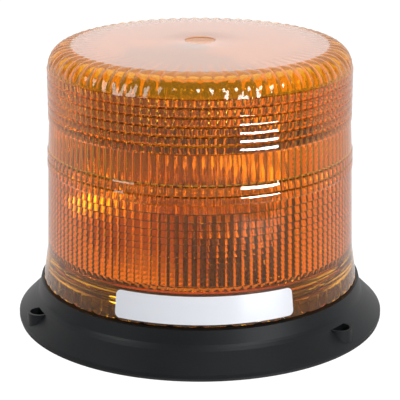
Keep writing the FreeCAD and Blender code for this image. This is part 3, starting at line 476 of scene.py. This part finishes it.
def lens_inner_rows(settings, turn):
    """Rows of (radius, height) down the inside: ceiling, fluted wall, prism rings, thread, ribs."""
    flat = np.zeros_like(turn)
    fluting = settings.flute_depth * lobes(turn, settings.flutes)
    ceiling = GRID_TOP + SHOULDER - 3 * MM
    rows = [
        (20 * MM + flat, ceiling + 1.5 * MM + flat),
        (50 * MM + flat, ceiling + 0.6 * MM + flat),
    ]
    inner_round = 7.0 * MM
    for step in range(4, -1, -1):
        lean = math.radians(step * 22.5)
        radius = CROWN_BORE - inner_round + inner_round * math.cos(lean)
        share = 1 - step / 4
        height = ceiling - inner_round + inner_round * math.sin(lean)
        rows.append((radius - fluting * share, height + flat))
    upper = np.linspace(GRID_TOP, BAND_TOP, settings.grid_rows + 1)
    for high, low in zip(upper, upper[1:]):
        for share in (0.01, 0.5, 0.96):
            height = high + (low - high) * share
            thick = (high - low) * settings.upper_slope * share
            rows.append((bore_radius(height) - fluting - thick, height + flat))
    for height in (BAND_TOP, BAND_BOTTOM):
        rows.append((bore_radius(height) - fluting, height + flat))
    edges = fresnel_edges(settings)
    slopes = np.linspace(settings.prism_slope, settings.foot_slope, settings.fresnel_rows)
    for high, low, slope in zip(edges, edges[1:], slopes):
        for share, height_share in ((0, 0.0), (1, 0.2), (0.56, 0.6)):
            height = high + (low - high) * height_share
            thick = (high - low) * slope * share
            rows.append((bore_radius(height) - fluting - thick, height + flat))
    rows.append((bore_radius(SKIRT_TOP) - 0.5 * MM + flat, SKIRT_TOP - 0.1 * MM + flat))
    heights = np.linspace(NUT_HIGH, NUT_LOW, 13)
    for height in heights:
        turns = (height - THREAD_START) / settings.thread_lead - turn / TAU
        ridge = np.clip(1.7 - 5 * np.abs((turns % 1.0) - 0.5), 0, 1)
        ends = np.clip(np.minimum(height - NUT_LOW, NUT_HIGH - height) / (0.8 * MM), 0, 1)
        rows.append((NUT_BORE - RIDGE_DEPTH * ridge * ends, height + flat))
    ribs = RIB_DEPTH * np.clip(lobes(turn, SKIRT_RIBS) * 6 - 4.8, 0, 1)
    edge = tabbed_edge(settings, turn)
    rows.append((SKIRT_BORE - ribs, NUT_LOW - 0.05 * MM + flat))
    rows.append((SKIRT_BORE - ribs, SKIRT_BOTTOM + 1.3 * MM + flat))
    rows.append((SKIRT_BORE + flat, edge + 0.05 * MM))
    return rows


def build_lens(settings, finishes):
    """The lens as one closed surface: up the outside to the crown and down the inside.

    The finishes are the wall's, the shoulder's, which its dimple in the crown shares, and the
    crown's, whose pale colour is a painted sheen. The last rows of the outside belong to the last
    two.
    """
    columns = 5 * settings.flutes
    turn = angles(columns)
    outer = lens_outer_rows(settings, turn)
    inner = lens_inner_rows(settings, turn)
    rings = [round_grid(radius, height, turn) for radius, height in outer + inner]
    poles = np.array([
        [0, 0, outer[-1][1][0]],
        [0, 0, inner[0][1][0] + 0.3 * MM],
    ])
    points = np.concatenate([np.stack(rings).reshape(-1, 3), poles])
    rows = len(rings)
    split = len(outer) - 1
    dimple_row = split - 2
    crown_row = split - 6
    shoulder_row = crown_row - 7
    quads = grid_faces(rows, columns, skip=(split,), wrap=True)
    column = np.arange(columns)
    after = (column + 1) % columns
    top = np.full(columns, rows * columns)
    caps = np.concatenate([
        np.stack([split * columns + column, split * columns + after, top], -1),
        np.stack([top + 1, (split + 1) * columns + after, (split + 1) * columns + column], -1),
    ])
    piece = make_piece("amber_lens", points, quads, caps, finishes[0], "lens_cap", 25)
    for material in finishes[1:]:
        piece.data.materials.append(material)
    finish = np.zeros(len(quads) + len(caps), dtype=int)
    finish[shoulder_row * columns:crown_row * columns] = 1
    finish[crown_row * columns:dimple_row * columns] = 2
    finish[dimple_row * columns:split * columns] = 1
    finish[len(quads):len(quads) + columns] = 1
    piece.data.polygons.foreach_set("material_index", finish)
    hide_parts("lens")
    return piece


def build_collar_thread(settings, material):
    """The collar's screw thread: a trapezoid carried up a helix, midway between the lens's ridges.

    The middle of the ridge rises by the lead in each turn. Both ends sink into the collar.
    """
    first, final = COLLAR_TURNS
    turns = np.linspace(first, final, 163)
    sink = np.clip(np.minimum(turns - first, final - turns) / COLLAR_RUNOUT, 0.05, 1)
    root = COLLAR_ROOT + 0 * turns
    crest = COLLAR_ROOT + COLLAR_RIDGE * sink
    foot = 0.28 * settings.thread_lead * sink
    flat = 0.13 * settings.thread_lead * sink
    middle = THREAD_START + settings.thread_lead * turns
    corners = ((root, foot), (crest, flat), (crest, -flat), (root, -foot))
    points = np.stack([
        np.stack([radius * np.cos(TAU * turns), radius * np.sin(TAU * turns), middle + rise], -1)
        for radius, rise in corners
    ], axis=1)
    last = 4 * len(turns) - 4
    ends = np.array([[3, 2, 1, 0], [last, last + 1, last + 2, last + 3]])
    quads = np.concatenate([grid_faces(len(turns), 4), ends])
    return make_piece("collar_thread", points, quads, None, material, "base", 40)


# ---------------------------------------------------------------- operators
class BEACON_OT_lens(bpy.types.Operator):
    """Make the amber lens"""

    bl_idname = "beacon.lens"
    bl_label = "Lens"

    def execute(self, context):
        settings = context.scene.beacon_lens
        amber = clear_glass("amber_polycarbonate", 1.58, 0.01, tuple(settings.tint), 0.98, 0.3)
        # The crown's pale tint and low clarity paint the whitish grazing reflection of the studio
        # into its colour.
        crown = clear_glass("crown_painted_sheen", 1.58, 0.12, tuple(settings.painted_crown_sheen), 0.35)
        shoulder = clear_glass("bright_shoulder", 1.55, 0.08, tuple(settings.tint), 0.74)
        build_lens(settings, (amber, shoulder, crown))
        return {"FINISHED"}


class BEACON_OT_base(bpy.types.Operator):
    """Finish the base, its gasket, cover and screws"""

    bl_idname = "beacon.base"
    bl_label = "Base"

    def execute(self, context):
        finish = context.scene.beacon_finish
        black = moulded("black_housing", tuple(finish.housing), 0.42)
        pad = rubber("gasket_rubber", (0.018, 0.018, 0.02))
        steel = metal("plated_screws", (0.62, 0.62, 0.6), 0.3)
        dress("base_housing", black)
        build_collar_thread(context.scene.beacon_lens, black)
        for node in ("mount_gasket", "cable_grommet", "lens_seal"):
            dress(node, pad)
        dress("bottom_cover", metal("zinc_sheet", (0.58, 0.59, 0.6), 0.38, 0.1))
        for node in ("cover_screws", "deck_screws", "motor_screws", "board_screws",
                     "cradle_screws", "reflector_screws", "retaining_ring"):
            dress(node, steel)
        dress("lens_label", label_film("blank_label", tuple(finish.label)))
        return {"FINISHED"}


class BEACON_OT_drive(bpy.types.Operator):
    """Finish the deck, motor, gears and reflector"""

    bl_idname = "beacon.drive"
    bl_label = "Drive"

    def execute(self, context):
        finish = context.scene.beacon_finish
        inner_black = moulded("inner_black", (0.022, 0.022, 0.024), 0.45, 0.15)
        dress("deck_plate", inner_black)
        dress("reflector_cradle", inner_black)
        dress("filter_capacitor", moulded("capacitor_sleeve", (0.02, 0.03, 0.07), 0.35, 0.05))
        dress("motor_case", metal("motor_can", (0.55, 0.55, 0.55), 0.28, 0.12))
        dress("motor_shaft", metal("ground_shaft", (0.7, 0.7, 0.7), 0.18))
        dress("centre_post", metal("blackened_post", (0.03, 0.03, 0.03), 0.35, 0.1))
        acetal = moulded("natural_acetal", (0.72, 0.7, 0.64), 0.4, 0.1)
        dress("drive_gear", acetal)
        dress("thrust_washer", acetal)
        brass = metal("brass", (0.75, 0.55, 0.24), 0.26, 0.1)
        for node in ("hub_bush", "pinion_gear", "lamp_base"):
            dress(node, brass)
        dress("reflector", mirror_coat("metallised_bowl", tuple(finish.mirror)))
        dress("lamp_socket", moulded("socket_moulding", (0.05, 0.045, 0.04), 0.5))
        dress("terminal_block", moulded("terminal_moulding", (0.04, 0.05, 0.06), 0.5))
        dress("lamp_glass", clear_glass("bulb_glass", 1.48, 0.0, (0.99, 0.99, 0.99)))
        dress("lamp_filament", metal("tungsten", (0.35, 0.34, 0.32), 0.4))
        dress("circuit_board", board_lacquer("board_lacquer"))
        dress("lamp_leads", rubber("red_insulation", (0.3, 0.02, 0.02)))
        dress("motor_leads", rubber("blue_insulation", (0.02, 0.04, 0.2)))
        return {"FINISHED"}


class BEACON_OT_stage(bpy.types.Operator):
    """Set the floor, the lights and the camera"""

    bl_idname = "beacon.stage"
    bl_label = "Stage"

    def execute(self, context):
        settings = context.scene.beacon_stage
        context.scene.view_settings.view_transform = "Standard"
        build_floor(settings)
        build_lights()
        build_camera(settings)
        return {"FINISHED"}


# ---------------------------------------------------------------- stage
GLOW_STRENGTH = 1.25
GLOW_SHARE = 0.82
MIRRORED_SHARE = 0.6
DIMMEST_SHARE = 0.05
MIDDLE = (0, 0, 0.07)

# Name, place, size, power and target of each lamp. The strip lies low, so that the flat faces
# of the lens's upper rings mirror it towards the camera.
LAMPS = (
    ("key", (0.8, -1.2, 1.0), (0.5, 0.5), 14, MIDDLE),
    ("fill", (-1.3, -0.8, 0.8), (0.7, 0.8), 9.5, MIDDLE),
    ("top", (0.0, 0.2, 1.8), (1.4, 1.4), 5, MIDDLE),
    ("right_strip", (0.225, -0.271, 0.0245), (0.17, 0.012), 0.26, (0.027, -0.066, 0.114)),
)


def seen_directly(recipe):
    """How white the floor is: full for the camera, and behind the object in metal and glass."""
    path = recipe.tree.nodes.new("ShaderNodeLightPath")
    camera = Wire(recipe.tree, path.outputs["Is Camera Ray"])
    mirrored = Wire(recipe.tree, path.outputs["Is Glossy Ray"]) * MIRRORED_SHARE
    through = Wire(recipe.tree, path.outputs["Is Transmission Ray"])
    along = recipe.node("ShaderNodeSeparateXYZ", out="Y", Vector=recipe.place)
    behind = (along * 6 + 0.8).smallest(1.0).largest(DIMMEST_SHARE)
    return camera.largest(mirrored.largest(through) * behind)


def build_floor(settings):
    """A plain pale floor that stays white where it is looked at, and keeps a soft shadow."""
    reach = 4.0
    level = -0.2 * MM
    mesh = bpy.data.meshes.new("floor")
    corners = [(x * reach, y * reach, level) for x, y in ((-1, -1), (1, -1), (1, 1), (-1, 1))]
    mesh.from_pydata(corners, [], [(0, 1, 2, 3)])
    floor = bpy.data.objects.new("floor", mesh)
    bpy.context.scene.collection.objects.link(floor)
    recipe = Recipe("pale_floor", Roughness=0.9, Base_Color=(*settings.floor, 1))
    glow = recipe.node("ShaderNodeEmission", Color=(1, 1, 1, 1), Strength=GLOW_STRENGTH)
    recipe.mix_in(seen_directly(recipe) * GLOW_SHARE, glow)
    mesh.materials.append(recipe.material)


def soft_box(name, place, size, power, target):
    """A rectangular lamp that looks at a point of the object."""
    data = bpy.data.lights.new(name, "AREA")
    data.shape = "RECTANGLE"
    data.size, data.size_y = size
    data.energy = power
    lamp = bpy.data.objects.new(name, data)
    bpy.context.scene.collection.objects.link(lamp)
    lamp.location = place
    aim = Vector(target) - Vector(place)
    lamp.rotation_euler = aim.to_track_quat("-Z", "Y").to_euler()


def build_lights():
    """A world that is white behind the object and dim in front of it, and the lamps."""
    world = bpy.data.worlds.new("studio")
    bpy.context.scene.world = world
    world.use_nodes = True
    tree = world.node_tree
    back = tree.nodes["Background"]
    place = tree.nodes.new("ShaderNodeTexCoord")
    parts = tree.nodes.new("ShaderNodeSeparateXYZ")
    tree.links.new(place.outputs["Generated"], parts.inputs[0])
    ramp = tree.nodes.new("ShaderNodeValToRGB")
    ramp.color_ramp.elements[0].position = 0.05
    ramp.color_ramp.elements[1].position = 0.45
    ramp.color_ramp.elements[0].color = (0.1, 0.1, 0.1, 1)
    ramp.color_ramp.elements[1].color = (1, 1, 1, 1)
    tree.links.new(parts.outputs["Y"], ramp.inputs["Fac"])
    tree.links.new(ramp.outputs["Color"], back.inputs["Color"])
    back.inputs["Strength"].default_value = 1.0
    for lamp in LAMPS:
        soft_box(*lamp)


def build_camera(settings):
    """The camera, level with the middle of the lens and looking slightly down."""
    data = bpy.data.cameras.new("camera")
    data.lens = settings.lens
    data.sensor_width = 36
    camera = bpy.data.objects.new("camera", data)
    bpy.context.scene.collection.objects.link(camera)
    camera.location = (0, -settings.distance, settings.height)
    camera.rotation_euler = (math.pi / 2 - settings.tilt, 0, 0)
    bpy.context.scene.camera = camera


# ---------------------------------------------------------------- panel and registration
class BEACON_PT_panel(bpy.types.Panel):
    """The beacon's settings and steps"""

    bl_label = "Rotating Beacon"
    bl_space_type = "VIEW_3D"
    bl_region_type = "UI"
    bl_category = "Beacon"

    def draw(self, context):
        scene = context.scene
        for settings in (scene.beacon_lens, scene.beacon_finish, scene.beacon_stage):
            box = self.layout.box()
            for key in settings.bl_rna.properties.keys():
                if key not in ("rna_type", "name"):
                    box.prop(settings, key)
        for step in STEPS:
            self.layout.operator(step.bl_idname)


STEPS = (BEACON_OT_base, BEACON_OT_drive, BEACON_OT_lens, BEACON_OT_stage)
CLASSES = (LensSettings, FinishSettings, StageSettings, *STEPS, BEACON_PT_panel)


def register():
    """Register the classes and attach the settings to the scene."""
    for item in CLASSES:
        bpy.utils.register_class(item)
    bpy.types.Scene.beacon_lens = PointerProperty(type=LensSettings)
    bpy.types.Scene.beacon_finish = PointerProperty(type=FinishSettings)
    bpy.types.Scene.beacon_stage = PointerProperty(type=StageSettings)


def unregister():
    """Undo register."""
    del bpy.types.Scene.beacon_stage
    del bpy.types.Scene.beacon_finish
    del bpy.types.Scene.beacon_lens
    for item in reversed(CLASSES):
        bpy.utils.unregister_class(item)


def main():
    """Run every step in order."""
    register()
    bpy.ops.beacon.base()
    bpy.ops.beacon.drive()
    bpy.ops.beacon.lens()
    bpy.ops.beacon.stage()


if __name__ == "__main__":
    main()
